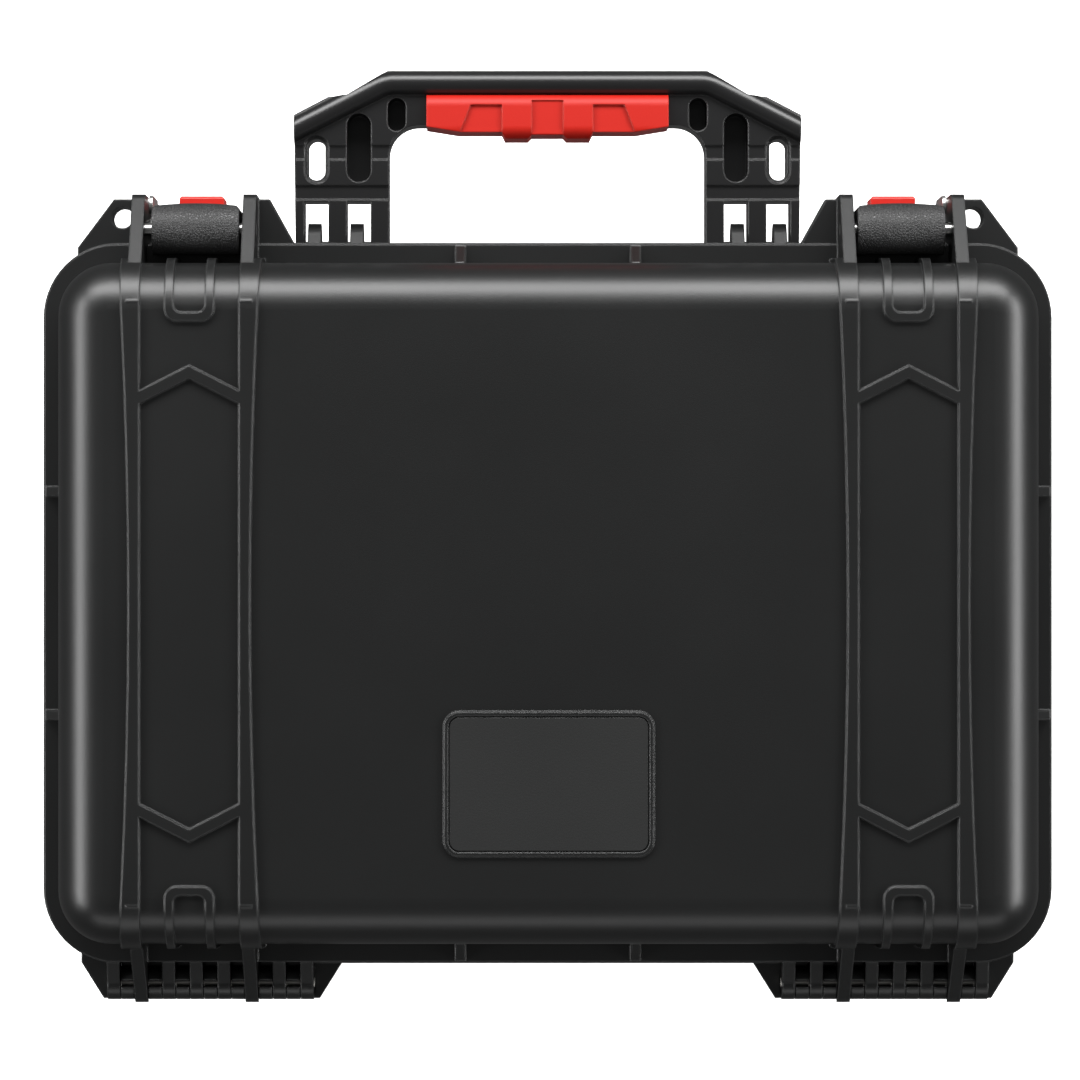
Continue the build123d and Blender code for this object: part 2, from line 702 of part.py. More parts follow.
# ---------------------------------------------------------------- latches
pocket_half = latch_width / 2 - latch_skin
button_half = button_width / 2
window_top = button_z + button_height + button_rim
for side_name, side in SIDES.items():
    middle = side * latch_middle
    barrel = rod(
        middle - latch_width / 2,
        middle + latch_width / 2,
        latch_pin_y,
        latch_pin_z,
        latch_barrel_r + latch_stock,
    )
    lever_pin_bore = rod(middle - 30, middle + 30, latch_pin_y, latch_pin_z, latch_pin_r + pivot_fit)
    rocker_span = (middle - rocker_pin_half, middle + rocker_pin_half)
    rocker_seat = rod(*rocker_span, rocker_y, rocker_z, rocker_pin_r + pin_seat)
    pocket_span = (latch_tail + latch_pocket_low, latch_pin_z - latch_pocket_top)
    tail = hull_plate(
        middle,
        latch_width,
        (
            (latch_face + 4.0 - latch_stock, latch_tail + 4.0, 4.0),
            (latch_inner - 1.0, latch_tail + 1.0, 1.0),
            (latch_face + 1.0 - latch_stock, latch_pin_z, 1.0),
            (latch_inner - 1.0, latch_pin_z, 1.0),
        ),
    )
    with BuildPart() as latch_lever:
        add(tail)
        add(barrel)
        # the outer face is crowned across its width
        with BuildSketch(Plane.XY.offset(latch_tail - 1.0)) as crown:
            with BuildLine():
                ThreePointArc(
                    (middle - latch_width / 2, latch_face + latch_crown),
                    (middle, latch_face),
                    (middle + latch_width / 2, latch_face + latch_crown),
                )
                Polyline(
                    (middle + latch_width / 2, latch_face + latch_crown),
                    (middle + latch_width / 2, latch_pin_y + latch_barrel_r),
                    (middle - latch_width / 2, latch_pin_y + latch_barrel_r),
                    (middle - latch_width / 2, latch_face + latch_crown),
                )
            make_face()
            fillet(crown.vertices().sort_by(Axis.Y)[:2], radius=latch_corner)
        extrude(amount=latch_length + 2 * latch_barrel_r, mode=Mode.INTERSECT)
        with BuildSketch(Plane.XY.offset(pocket_span[0])):
            with Locations((middle, (latch_face + latch_skin + latch_inner) / 2 + 1.0)):
                Rectangle(2 * pocket_half, latch_inner - latch_face - latch_skin + 2.0)
        extrude(amount=pocket_span[1] - pocket_span[0], mode=Mode.SUBTRACT)
        # window for the release
        with BuildSketch(Plane.XZ.offset(-latch_face - latch_skin - 1.0)):
            with Locations((middle, (button_z - button_gap + window_top) / 2)):
                Rectangle(button_width + 2 * button_gap, window_top - button_z + button_gap)
        extrude(amount=latch_skin + 2.0, mode=Mode.SUBTRACT)
        add(lever_pin_bore, mode=Mode.SUBTRACT)
        add(rocker_seat, mode=Mode.SUBTRACT)
    latch_lever.part.label = f"latch_{side_name}_lever"
    export_step(latch_lever.part, f"parts/latch_{side_name}_lever.step")

    pad = outline_plate(
        middle,
        button_width,
        (
            (latch_face - button_proud, button_z),
            (latch_face - button_proud, button_z + button_height),
            (rocker_y + 1.0, button_z + button_height),
            (rocker_y + 2.0, ledge - catch_lip - hook_gap),
            (front + catch_lip + hook_gap, ledge - catch_lip - hook_gap),
            (front + catch_lip + hook_gap + 0.3, ledge - catch_lip + hook_bite),
            (front + catch_lip + hook_gap + 1.6, ledge - catch_lip + hook_bite),
            (front + catch_lip + hook_gap + 2.4, ledge - catch_lip - 3.2),
            (latch_inner + 0.2, ledge - catch_lip - 4.6),
            (rocker_y + 3.2, ledge - catch_lip - 8.6),
            (rocker_y + 3.2, button_z + 1.0),
            (rocker_y + 2.2, button_z),
        ),
    )
    rocker_bore = rod(middle - 15, middle + 15, rocker_y, rocker_z, rocker_pin_r + pivot_fit)
    with BuildPart() as latch_release:
        add(pad)
        chamfer(latch_release.faces().sort_by(Axis.Y)[0].edges(), length=0.7)
        with Locations((middle, rocker_y + 0.6, rocker_z)):
            Box(spring_length + 0.4, 7.2, 2 * spring_r + 2.0, mode=Mode.SUBTRACT)
        add(rocker_bore, mode=Mode.SUBTRACT)
    latch_release.part.label = f"latch_{side_name}_release"
    export_step(latch_release.part, f"parts/latch_{side_name}_release.step")

    pin_low, pin_high = sorted((side * (inner_rib - rib_thick / 2), side * (outer_rib + rib_thick / 2)))
    lever_rod = rod(pin_low, pin_high, latch_pin_y, latch_pin_z, latch_pin_r)
    with BuildPart() as lever_pin:
        add(lever_rod)
    lever_pin.part.label = f"latch_{side_name}_lever_pin"
    export_step(lever_pin.part, f"parts/latch_{side_name}_lever_pin.step")

    rocker_rod = rod(*rocker_span, rocker_y, rocker_z, rocker_pin_r)
    with BuildPart() as release_pin:
        add(rocker_rod)
    release_pin.part.label = f"latch_{side_name}_release_pin"
    export_step(release_pin.part, f"parts/latch_{side_name}_release_pin.step")

    coil = rod(middle - spring_length / 2, middle + spring_length / 2, rocker_y, rocker_z, spring_r)
    coil_bore = rod(middle - spring_length, middle + spring_length, rocker_y, rocker_z, rocker_pin_r + 0.1)
    with BuildPart() as release_spring:
        add(coil)
        add(coil_bore, mode=Mode.SUBTRACT)
    release_spring.part.label = f"latch_{side_name}_spring"
    export_step(release_spring.part, f"parts/latch_{side_name}_spring.step")

# ---------------------------------------------------------------- latch guards
for side_name, side in SIDES.items():
    guard_middle = side * (guard_x + guard_thick / 2)
    holes = [
        rod(*sorted((side * (guard_x - 1), side * (outer_rib + rib_thick))), y, z, guard_rivet_r + pin_seat)
        for y, z in rivet_places
    ]
    tab = hull_plate(
        guard_middle,
        guard_thick,
        (
            (rib_tip + guard_nose_r - 1.0, seam - 4.0, guard_nose_r),
            (rib_tip + guard_nose_r - 1.0, seam - 24.0, guard_nose_r),
        ),
    )
    foot = hull_plate(
        guard_middle,
        guard_thick,
        [(y, z, guard_nose_r) for y, z in rivet_places],
    )
    with BuildPart() as latch_guard:
        add(tab)
        add(foot)
        add(holes, mode=Mode.SUBTRACT)
    latch_guard.part.label = f"latch_guard_{side_name}"
    export_step(latch_guard.part, f"parts/latch_guard_{side_name}.step")

    shanks = [
        rod(*sorted((side * guard_x, side * outer_face)), y, z, guard_rivet_r)
        for y, z in rivet_places
    ]
    heads = [
        rod(*sorted((side * (guard_x - rivet_head_thick), side * guard_x)), y, z, guard_rivet_r + rivet_head)
        for y, z in rivet_places
    ]
    tails = [
        rod(*sorted((side * outer_face, side * (outer_face + rivet_head_thick))), y, z, guard_rivet_r + rivet_head)
        for y, z in rivet_places
    ]
    with BuildPart() as guard_rivets:
        add(shanks)
        add(heads)
        add(tails)
    guard_rivets.part.label = f"guard_rivets_{side_name}"
    export_step(guard_rivets.part, f"parts/guard_rivets_{side_name}.step")

# ---------------------------------------------------------------- handle
bar_in = handle_top + bar_depth
ridge_y = handle_top + bar_r + 0.2
ridge_z = handle_z + bar_front - bar_r
grip_top = ridge_y + bar_r + 0.1
half_outline = (
    (0, handle_top),
    (arm_out - bar_end, handle_top),
    (arm_out - bar_foot[0], handle_top + bar_foot[1]),
    (arm_out - arm_brow[0], handle_top + arm_brow[1]),
    (arm_out + arm_shoulder[0], handle_top + arm_shoulder[1]),
    (arm_out, handle_y),
    (arm_in, handle_y),
    (arm_in, bar_in),
    (0, bar_in),
)
cross_in = handle_y - cross_bar_out
cross_top = cross_in - cross_bar
arm_spans = [sorted((side * arm_in, side * arm_out)) for side in (-1, 1)]
arm_ends = [rod(low, high, handle_y, handle_z, arm_half) for low, high in arm_spans]
arm_bores = [
    rod(low - 2, high + 2, handle_y, handle_z, handle_pin_r + pivot_fit) for low, high in handle_pin_spans
]
windows = [
    brick(
        (side * x - slot_width / 2, side * x + slot_width / 2),
        (cross_in, handle_y + 2 * arm_half),
        (handle_z - 2 * arm_half, handle_z + 2 * arm_half),
    )
    for side in (-1, 1)
    for x in slot_places
]
band_grooves = [
    brick(
        (low - 1, high + 1),
        (y - band_groove / 2, y + band_groove / 2),
        (handle_z + arm_half - band_groove_depth, handle_z + arm_half + 1),
    )
    for low, high in arm_spans
    for y in (cross_top + cross_bar / 2, cross_top - 10.4)
]

with BuildSketch(Plane.XY.offset(handle_z - arm_half)) as handle_plan:
    with BuildLine() as half_plan:
        Polyline(*half_outline)
        mirror(half_plan.line, about=Plane.YZ)
    make_face()
    corners = handle_plan.vertices()
    fillet(corners.filter_by(lambda v: abs(abs(v.X) - arm_in) < 0.1 and v.Y < bar_in + 1), radius=inner_corner)
    fillet(corners.filter_by(lambda v: 1 < abs(v.X) < arm_in + 2 and v.Y < handle_top + 1), radius=14.0)
    fillet(corners.filter_by(lambda v: abs(v.X) > arm_in + 10 and v.Y < cross_top), radius=2.5)

with BuildPart() as outline_prism:
    add(handle_plan.sketch)
    extrude(amount=2 * arm_half + bar_front)

# a round ridge runs along the bar and slopes down across both arms
with BuildPart() as ridge:
    with BuildLine(Plane.XY.offset(ridge_z)) as ridge_line:
        FilletPolyline(
            (-arm_out - 4, ridge_y + ridge_drop + 2),
            (-arm_in - 1, ridge_y),
            (arm_in + 1, ridge_y),
            (arm_out + 4, ridge_y + ridge_drop + 2),
            radius=ridge_bend,
        )
    with BuildSketch(Plane(origin=ridge_line.line @ 0, z_dir=ridge_line.line % 0)):
        Circle(bar_r)
    sweep()
    add(outline_prism.part, mode=Mode.INTERSECT)

with BuildPart() as handle_frame:
    add(handle_plan.sketch)
    extrude(amount=2 * arm_half)
    add(ridge.part)
    add(arm_ends)
    # the outer slots go right through, with a step round them; the inner ones are blind
    outer_slot = (slot_places[0], cross_top - slot_width)
    with BuildSketch(Plane.XY.offset(handle_z + arm_half - slot_rim)):
        with Locations(outer_slot, (-outer_slot[0], outer_slot[1])):
            SlotOverall(2 * slot_width, slot_width, rotation=90)
    extrude(amount=bar_front, mode=Mode.SUBTRACT)
    with BuildSketch(Plane.XY.offset(handle_z - 2 * arm_half)):
        with Locations(outer_slot, (-outer_slot[0], outer_slot[1])):
            SlotOverall(2 * (slot_width - slot_rim), slot_width - 2 * slot_rim, rotation=90)
    extrude(amount=4 * arm_half, mode=Mode.SUBTRACT)
    with BuildSketch(Plane.XY.offset(handle_z - arm_half / 2)):
        for side in (-1, 1):
            with Locations((side * slot_places[1], cross_top - 1.5 * slot_width)):
                SlotOverall(3 * slot_width - 1.0, slot_width, rotation=90)
            with Locations((side * (arm_in - 2.5), grip_top + side_pocket[1] / 2 + 1.0)):
                SlotOverall(side_pocket[1], side_pocket[0], rotation=90)
    extrude(amount=2 * arm_half, mode=Mode.SUBTRACT)
    add(windows, mode=Mode.SUBTRACT)
    add(band_grooves, mode=Mode.SUBTRACT)
    add(arm_bores, mode=Mode.SUBTRACT)
    # seat of the grip: the bar is thinner there
    with BuildSketch(Plane.YZ.offset(-grip_half)):
        with BuildLine():
            Polyline(
                (grip_top, handle_z - 3 * arm_half),
                (bar_in + grip_skin, handle_z - 3 * arm_half),
                (bar_in + grip_skin, handle_z + 3 * arm_half),
                (grip_top, handle_z + 3 * arm_half),
                (grip_top, handle_z + arm_half - grip_sink),
                (bar_in - grip_skin, handle_z + arm_half - grip_sink),
                (bar_in - grip_skin, handle_z - arm_half + grip_sink),
                (grip_top, handle_z - arm_half + grip_sink),
                close=True,
            )
        make_face()
    extrude(amount=2 * grip_half, mode=Mode.SUBTRACT)
handle_frame.part.label = "handle_frame"
export_step(handle_frame.part, "parts/handle_frame.step")

grip_high = handle_z + bar_front + grip_rise
grip_back = handle_z - arm_half - 2 * grip_rise
rib_low, middle_low, side_low = (bar_in + reach for reach in grip_low)
with BuildPart() as handle_grip:
    with BuildSketch(Plane.YZ.offset(-grip_half)) as grip_section:
        with BuildLine():
            Polyline(
                (grip_top, grip_high),
                (rib_low, grip_high),
                (rib_low, grip_back),
                (grip_top, grip_back),
                close=True,
            )
        make_face()
        fillet(grip_section.vertices().sort_by(Axis.Y)[-2:], radius=grip_round)
        with BuildLine():
            Polyline(
                (grip_top, handle_z + arm_half - grip_sink),
                (bar_in - grip_skin, handle_z + arm_half - grip_sink),
                (bar_in - grip_skin, handle_z - arm_half + grip_sink),
                (grip_top, handle_z - arm_half + grip_sink),
                close=True,
            )
        make_face(mode=Mode.SUBTRACT)
    extrude(amount=2 * grip_half)
    # seen from the lid, the lower edge steps between the ribs and tapers off at the ends
    with BuildSketch(Plane.XY.offset(grip_back)) as lower_edge:
        with BuildLine() as half_edge:
            Polyline(
                (0, middle_low),
                (grip_rib[0], middle_low),
                (grip_rib[1], rib_low),
                (grip_rib[2], rib_low),
                (grip_rib[3], side_low),
                (grip_panel[1], side_low),
                (grip_half, bar_in + grip_end_low),
                (grip_half, grip_top),
                (0, grip_top),
            )
            mirror(half_edge.line, about=Plane.YZ)
        make_face()
    extrude(amount=grip_high - grip_back, mode=Mode.INTERSECT)
    # shallow finger panels, which run off the lower edge, on both faces
    with BuildSketch(Plane.XY.offset(grip_back)) as panels:
        with Locations((0, grip_top + 2.1 + bar_depth / 2)):
            Rectangle(2 * grip_rib[0], bar_depth)
        for side in (-1, 1):
            with BuildLine():
                Polyline(
                    (side * grip_rib[3], grip_top + 3.6),
                    (side * grip_panel[0], grip_top + 3.6),
                    (side * grip_panel[1], side_low + 0.1),
                    (side * grip_rib[3], side_low + 0.1),
                    close=True,
                )
            make_face()
    extrude(amount=grip_groove, mode=Mode.SUBTRACT)
    with BuildSketch(Plane.XY.offset(grip_high - grip_groove)):
        add(panels.sketch)
    extrude(amount=grip_groove, mode=Mode.SUBTRACT)
handle_grip.part.label = "handle_grip"
export_step(handle_grip.part, "parts/handle_grip.step")

for (low, high), side_name in zip(handle_pin_spans, SIDES):
    handle_rod = rod(low, high, handle_y, handle_z, handle_pin_r)
    with BuildPart() as handle_pin:
        add(handle_rod)
    handle_pin.part.label = f"handle_pin_{side_name}"
    export_step(handle_pin.part, f"parts/handle_pin_{side_name}.step")

# ---------------------------------------------------------------- pressure valve
with BuildPart() as valve_body:
    with BuildSketch(Plane.XZ.offset(-valve_seat)):
        with Locations((0, valve_z)):
            Circle(valve_r)
    extrude(amount=valve_thick)
    chamfer(valve_body.edges().sort_by(Axis.Y)[0], length=valve_bevel)
    with BuildSketch(Plane.XZ.offset(-valve_inside - nut_thick - 1.0)):
        with Locations((0, valve_z)):
            Circle(valve_stem_r)
    extrude(until=Until.NEXT)
    with BuildSketch(Plane.XZ.offset(-valve_inside - nut_thick - 1.0)):
        with Locations((0, valve_z)):
            Circle(valve_stem_r - valve_wall)
    extrude(amount=valve_inside + nut_thick + 1.0 - valve_seat + 1.8, mode=Mode.SUBTRACT)
    # groove for the O-ring in the face that meets the wall
    with BuildSketch(Plane.XZ.offset(-valve_seat)):
        with Locations((0, valve_z)):
            Circle(ring_mid + ring_r + 0.2)
            Circle(ring_mid - ring_r - 0.2, mode=Mode.SUBTRACT)
    extrude(amount=2 * ring_r, mode=Mode.SUBTRACT)
    # vent holes in front of the membrane
    with BuildSketch(Plane.XZ.offset(-valve_seat + 1.8)):
        with Locations((0, valve_z)):
            with PolarLocations(valve_stem_r - 3.6, 6):
                Circle(0.7)
    extrude(amount=valve_thick + 2, mode=Mode.SUBTRACT)
valve_body.part.label = "valve_body"
export_step(valve_body.part, "parts/valve_body.step")

with BuildPart() as valve_nut:
    with BuildSketch(Plane.XZ.offset(-valve_inside - nut_thick)):
        with Locations((0, valve_z)):
            RegularPolygon(nut_flats / 2, 6, major_radius=False)
            Circle(valve_stem_r + pin_seat, mode=Mode.SUBTRACT)
    extrude(amount=nut_thick)
valve_nut.part.label = "valve_nut"
export_step(valve_nut.part, "parts/valve_nut.step")

with BuildPart() as valve_o_ring:
    with BuildSketch(Plane.XZ.offset(-valve_seat)):
        with Locations((0, valve_z)):
            Circle(ring_mid + ring_r)
            Circle(ring_mid - ring_r, mode=Mode.SUBTRACT)
    extrude(amount=2 * ring_r)
valve_o_ring.part.label = "valve_o_ring"
export_step(valve_o_ring.part, "parts/valve_o_ring.step")

with BuildPart() as valve_membrane:
    with BuildSketch(Plane.XZ.offset(-valve_seat + 1.0)):
        with Locations((0, valve_z)):
            Circle(valve_stem_r - valve_wall - pin_seat)
    extrude(amount=0.8)
valve_membrane.part.label = "valve_membrane"
export_step(valve_membrane.part, "parts/valve_membrane.step")

# ---------------------------------------------------------------- foam
tray_width = body_width - 2 * (wall + foam_gap)
tray_length = body_length - 2 * (wall + foam_gap)
tray_corner = body_corner - wall - foam_gap
tray_low = band_rise + wall + foam_gap + foam_floor_thick
tray_high = seam - foam_step
slope = math.tan(math.radians(base_draft))
nut_relief = brick(
    (-nut_flats / 2 - 3, nut_flats / 2 + 3),
    (wall_y, valve_inside + nut_thick + 3),
    (valve_z - nut_flats / 2 - 3, valve_z + nut_flats / 2 + 3),
)
drone_y = tray_length / 2 - pocket_web - drone_pocket[1] / 2
front_row_y = -tray_length / 2 + pocket_web + remote_pocket[1] / 2
charger_x = tray_width / 2 - pocket_web - charger_pocket[0] / 2
drone_x = -tray_width / 2 + pocket_web + drone_pocket[0] / 2
remote_x = -tray_width / 2 + pocket_web + remote_pocket[0] / 2
pack_start = remote_x + remote_pocket[0] / 2 + pocket_web + pack_pocket[0] / 2
pack_places = [
    (pack_start + k * (pack_pocket[0] + pocket_web * 0.6), front_row_y) for k in range(pack_count)
]

with BuildPart() as foam_tray:
    with BuildSketch(Plane.XY.offset(tray_high)):
        RectangleRounded(tray_width, tray_length, tray_corner)
    extrude(amount=tray_low - tray_high, taper=base_draft)
    with BuildSketch(Plane.XY.offset(tray_low)):
        with Locations((drone_x, drone_y)):
            RectangleRounded(*drone_pocket, pocket_corner)
        with Locations((charger_x, drone_y)):
            RectangleRounded(*charger_pocket, pocket_corner)
        with Locations((remote_x, front_row_y)):
            RectangleRounded(*remote_pocket, pocket_corner)
        with Locations(*pack_places):
            RectangleRounded(*pack_pocket, pocket_corner * 0.6)
    extrude(amount=tray_high - tray_low, mode=Mode.SUBTRACT)
    add(nut_relief, mode=Mode.SUBTRACT)
foam_tray.part.label = "foam_tray"
export_step(foam_tray.part, "parts/foam_tray.step")

floor_grow = -2 * ((tray_high - tray_low + foam_step) * slope + foam_gap)
with BuildPart() as foam_floor:
    with BuildSketch(Plane.XY.offset(tray_low)):
        RectangleRounded(tray_width + floor_grow, tray_length + floor_grow, tray_corner - 4.0)
    extrude(amount=-foam_floor_thick)
    fillet(foam_floor.faces().sort_by(Axis.Z)[0].edges(), radius=foam_floor_thick - 1.0)
foam_floor.part.label = "foam_floor"
export_step(foam_floor.part, "parts/foam_floor.step")

lid_foam_grow = -2 * (lid_height_shell - wall - foam_gap - lid_foam_thick) * math.tan(math.radians(lid_draft))
lid_foam_high = lid_face - wall - foam_gap
with BuildPart() as lid_foam:
    with BuildSketch(Plane.XY.offset(lid_foam_high - lid_foam_thick)):
        RectangleRounded(tray_width + lid_foam_grow, tray_length + lid_foam_grow, tray_corner)
    extrude(amount=lid_foam_thick, taper=lid_draft)
    fillet(lid_foam.faces().sort_by(Axis.Z)[-1].edges(), radius=tray_corner - 2.0)
lid_foam.part.label = "lid_foam"
export_step(lid_foam.part, "parts/lid_foam.step")
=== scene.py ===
import math

import bmesh
import bpy
from mathutils import Matrix, Vector


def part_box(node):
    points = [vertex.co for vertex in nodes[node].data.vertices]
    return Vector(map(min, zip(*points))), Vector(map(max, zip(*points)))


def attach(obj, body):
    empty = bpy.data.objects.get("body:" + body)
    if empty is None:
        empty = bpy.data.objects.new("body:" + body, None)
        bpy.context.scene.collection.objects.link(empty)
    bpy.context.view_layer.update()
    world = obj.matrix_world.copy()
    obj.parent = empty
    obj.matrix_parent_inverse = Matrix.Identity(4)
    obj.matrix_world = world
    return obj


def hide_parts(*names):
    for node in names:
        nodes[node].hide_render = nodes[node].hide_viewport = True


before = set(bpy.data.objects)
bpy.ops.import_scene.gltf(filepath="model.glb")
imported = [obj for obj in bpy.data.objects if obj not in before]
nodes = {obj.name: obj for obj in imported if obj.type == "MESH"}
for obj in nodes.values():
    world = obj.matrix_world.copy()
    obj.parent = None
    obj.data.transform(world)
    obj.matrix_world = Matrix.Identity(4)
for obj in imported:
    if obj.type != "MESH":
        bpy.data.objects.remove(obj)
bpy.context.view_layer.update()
MM = 0.001

# ---------------------------------------------------------------- base and lid shells
# Both are injection moulded in black polypropylene copolymer with a fine matt grain. The
# flanges, bands, ribs and hinge knuckles are part of each moulding.

SHELL_BLACK = (0.0042, 0.0044, 0.0044)
SHELL_RUBBED = (0.032, 0.033, 0.033)


def group_socket(tree, name, kind, output=False, value=None):
    """Add a named input or output to a node group."""
    made = tree.interface.new_socket(
        name=name, in_out="OUTPUT" if output else "INPUT", socket_type=kind
    )
    if value is not None:
        made.default_value = value
    return made


def make_edge_group():
    """Moulded corners are never sharp: a softened normal, and a mask of the rubbed edges."""
    tree = bpy.data.node_groups.new("moulded_edges", "ShaderNodeTree")
    group_socket(tree, "Radius", "NodeSocketFloat", value=0.4 * MM)
    group_socket(tree, "Patchiness", "NodeSocketFloat", value=0.5)
    group_socket(tree, "Normal", "NodeSocketVector", output=True)
    group_socket(tree, "Edge", "NodeSocketFloat", output=True)
    n, link = tree.nodes, tree.links.new
    inp, out = n.new("NodeGroupInput"), n.new("NodeGroupOutput")
    bevel = n.new("ShaderNodeBevel")
    bevel.samples = 4
    geometry = n.new("ShaderNodeNewGeometry")
    dot = n.new("ShaderNodeVectorMath")
    dot.operation = "DOT_PRODUCT"
    edge = n.new("ShaderNodeMapRange")
    edge.inputs["From Min"].default_value = 0.995
    edge.inputs["From Max"].default_value = 0.86
    coords = n.new("ShaderNodeTexCoord")
    patches = n.new("ShaderNodeTexNoise")
    patches.inputs["Scale"].default_value = 90.0
    patches.inputs["Detail"].default_value = 4.0
    contrast = n.new("ShaderNodeMapRange")
    contrast.inputs["From Min"].default_value = 0.35
    contrast.inputs["From Max"].default_value = 0.65
    blend = n.new("ShaderNodeMix")
    blend.inputs["A"].default_value = 1.0
    both = n.new("ShaderNodeMath")
    both.operation = "MULTIPLY"
    link(inp.outputs["Radius"], bevel.inputs["Radius"])
    link(bevel.outputs["Normal"], dot.inputs[0])
    link(geometry.outputs["True Normal"], dot.inputs[1])
    link(dot.outputs["Value"], edge.inputs["Value"])
    link(coords.outputs["Object"], patches.inputs["Vector"])
    link(patches.outputs["Fac"], contrast.inputs["Value"])
    link(inp.outputs["Patchiness"], blend.inputs["Factor"])
    link(contrast.outputs["Result"], blend.inputs["B"])
    link(edge.outputs["Result"], both.inputs[0])
    link(blend.outputs["Result"], both.inputs[1])
    link(bevel.outputs["Normal"], out.inputs["Normal"])
    link(both.outputs["Value"], out.inputs["Edge"])
    return tree


edge_group = make_edge_group()


def make_grain_group():
    """Spark-eroded tool texture: fine pits, and a roughness that drifts slowly."""
    tree = bpy.data.node_groups.new("tool_grain", "ShaderNodeTree")
    group_socket(tree, "Scale", "NodeSocketFloat", value=2200.0)
    group_socket(tree, "Roughness", "NodeSocketFloat", value=0.45)
    group_socket(tree, "Spread", "NodeSocketFloat", value=0.06)
    group_socket(tree, "Height", "NodeSocketFloat", output=True)
    group_socket(tree, "Roughness", "NodeSocketFloat", output=True)
    n, link = tree.nodes, tree.links.new
    inp, out = n.new("NodeGroupInput"), n.new("NodeGroupOutput")
    coords = n.new("ShaderNodeTexCoord")
    pits = n.new("ShaderNodeTexNoise")
    pits.inputs["Detail"].default_value = 3.0
    pits.inputs["Roughness"].default_value = 0.62
    cloud = n.new("ShaderNodeTexNoise")
    cloud.inputs["Scale"].default_value = 14.0
    cloud.inputs["Detail"].default_value = 5.0
    centre = n.new("ShaderNodeMath")
    centre.operation = "SUBTRACT"
    centre.inputs[1].default_value = 0.5
    swing = n.new("ShaderNodeMath")
    swing.operation = "MULTIPLY_ADD"
    link(inp.outputs["Scale"], pits.inputs["Scale"])
    link(coords.outputs["Object"], pits.inputs["Vector"])
    link(coords.outputs["Object"], cloud.inputs["Vector"])
    link(cloud.outputs["Fac"], centre.inputs[0])
    link(centre.outputs["Value"], swing.inputs[0])
    link(inp.outputs["Spread"], swing.inputs[1])
    link(inp.outputs["Roughness"], swing.inputs[2])
    link(pits.outputs["Fac"], out.inputs["Height"])
    link(swing.outputs["Value"], out.inputs["Roughness"])
    return tree


grain_group = make_grain_group()


def plastic(name, colour, rub_colour, roughness, grain_scale, grain_depth, radius, spread=0.08):
    """Moulded plastic: grain, cloudy roughness and rubbed edges."""
    material = bpy.data.materials.new(name)
    material.use_nodes = True
    n, link = material.node_tree.nodes, material.node_tree.links.new
    shader = n["Principled BSDF"]
    grain = n.new("ShaderNodeGroup")
    grain.node_tree = grain_group
    grain.inputs["Scale"].default_value = grain_scale
    grain.inputs["Roughness"].default_value = roughness
    grain.inputs["Spread"].default_value = spread
    edges = n.new("ShaderNodeGroup")
    edges.node_tree = edge_group
    edges.inputs["Radius"].default_value = radius
    bump = n.new("ShaderNodeBump")
    bump.inputs["Strength"].default_value = 1.0
    bump.inputs["Distance"].default_value = grain_depth
    tint = n.new("ShaderNodeMix")
    tint.data_type = "RGBA"
    tint.inputs["A"].default_value = (*colour, 1.0)
    tint.inputs["B"].default_value = (*rub_colour, 1.0)
    polish = n.new("ShaderNodeMath")
    polish.operation = "MULTIPLY_ADD"
    polish.inputs[1].default_value = -0.12
    link(grain.outputs["Height"], bump.inputs["Height"])
    link(edges.outputs["Normal"], bump.inputs["Normal"])
    link(bump.outputs["Normal"], shader.inputs["Normal"])
    link(edges.outputs["Edge"], tint.inputs["Factor"])
    link(tint.outputs["Result"], shader.inputs["Base Color"])
    link(edges.outputs["Edge"], polish.inputs[0])
    link(grain.outputs["Roughness"], polish.inputs[2])
    link(polish.outputs["Value"], shader.inputs["Roughness"])
    return material


def paint(node, material):
    """Give a CAD node one material."""
    slots = nodes[node].data.materials
    slots.clear()
    slots.append(material)


shell_black = plastic("shell_black", SHELL_BLACK, SHELL_RUBBED, 0.35, 2300.0, 0.03 * MM, 0.9 * MM)
for name in ("base_shell", "lid_shell"):
    paint(name, shell_black)

# ---------------------------------------------------------------- name plate
# A thin blank plate of textured plastic, glued inside the raised frame on the lid. Its
# surface is a little coarser and duller than the shell's.

plate_black = plastic(
    "plate_black", (0.0085, 0.0088, 0.0087), (0.02, 0.02, 0.02), 0.43, 1500.0, 0.05 * MM, 0.3 * MM
)
paint("nameplate", plate_black)

# ---------------------------------------------------------------- lid seal
# A soft silicone cord of oval section, pressed into the groove of the lid flange. The
# tongue of the base bites into it when the latches close.

SEAL_CORNER = 20.2 * MM
SEAL_WIDTH = 3.6 * MM


def new_tree(name, *inputs):
    """A Geometry Nodes tree with the given (name, value) inputs and a Material input."""
    tree = bpy.data.node_groups.new(name, "GeometryNodeTree")
    for label, value in inputs:
        group_socket(tree, label, "NodeSocketFloat", value=value)
    group_socket(tree, "Material", "NodeSocketMaterial")
    group_socket(tree, "Geometry", "NodeSocketGeometry", output=True)
    return tree


def finish_tree(tree, geometry, inp):
    """Realize Instances, Set Material and the group's output."""
    n, link = tree.nodes, tree.links.new
    real = n.new("GeometryNodeRealizeInstances")
    finish = n.new("GeometryNodeSetMaterial")
    out = n.new("NodeGroupOutput")
    link(geometry, real.inputs["Geometry"])
    link(real.outputs["Geometry"], finish.inputs["Geometry"])
    link(inp.outputs["Material"], finish.inputs["Material"])
    link(finish.outputs["Geometry"], out.inputs["Geometry"])


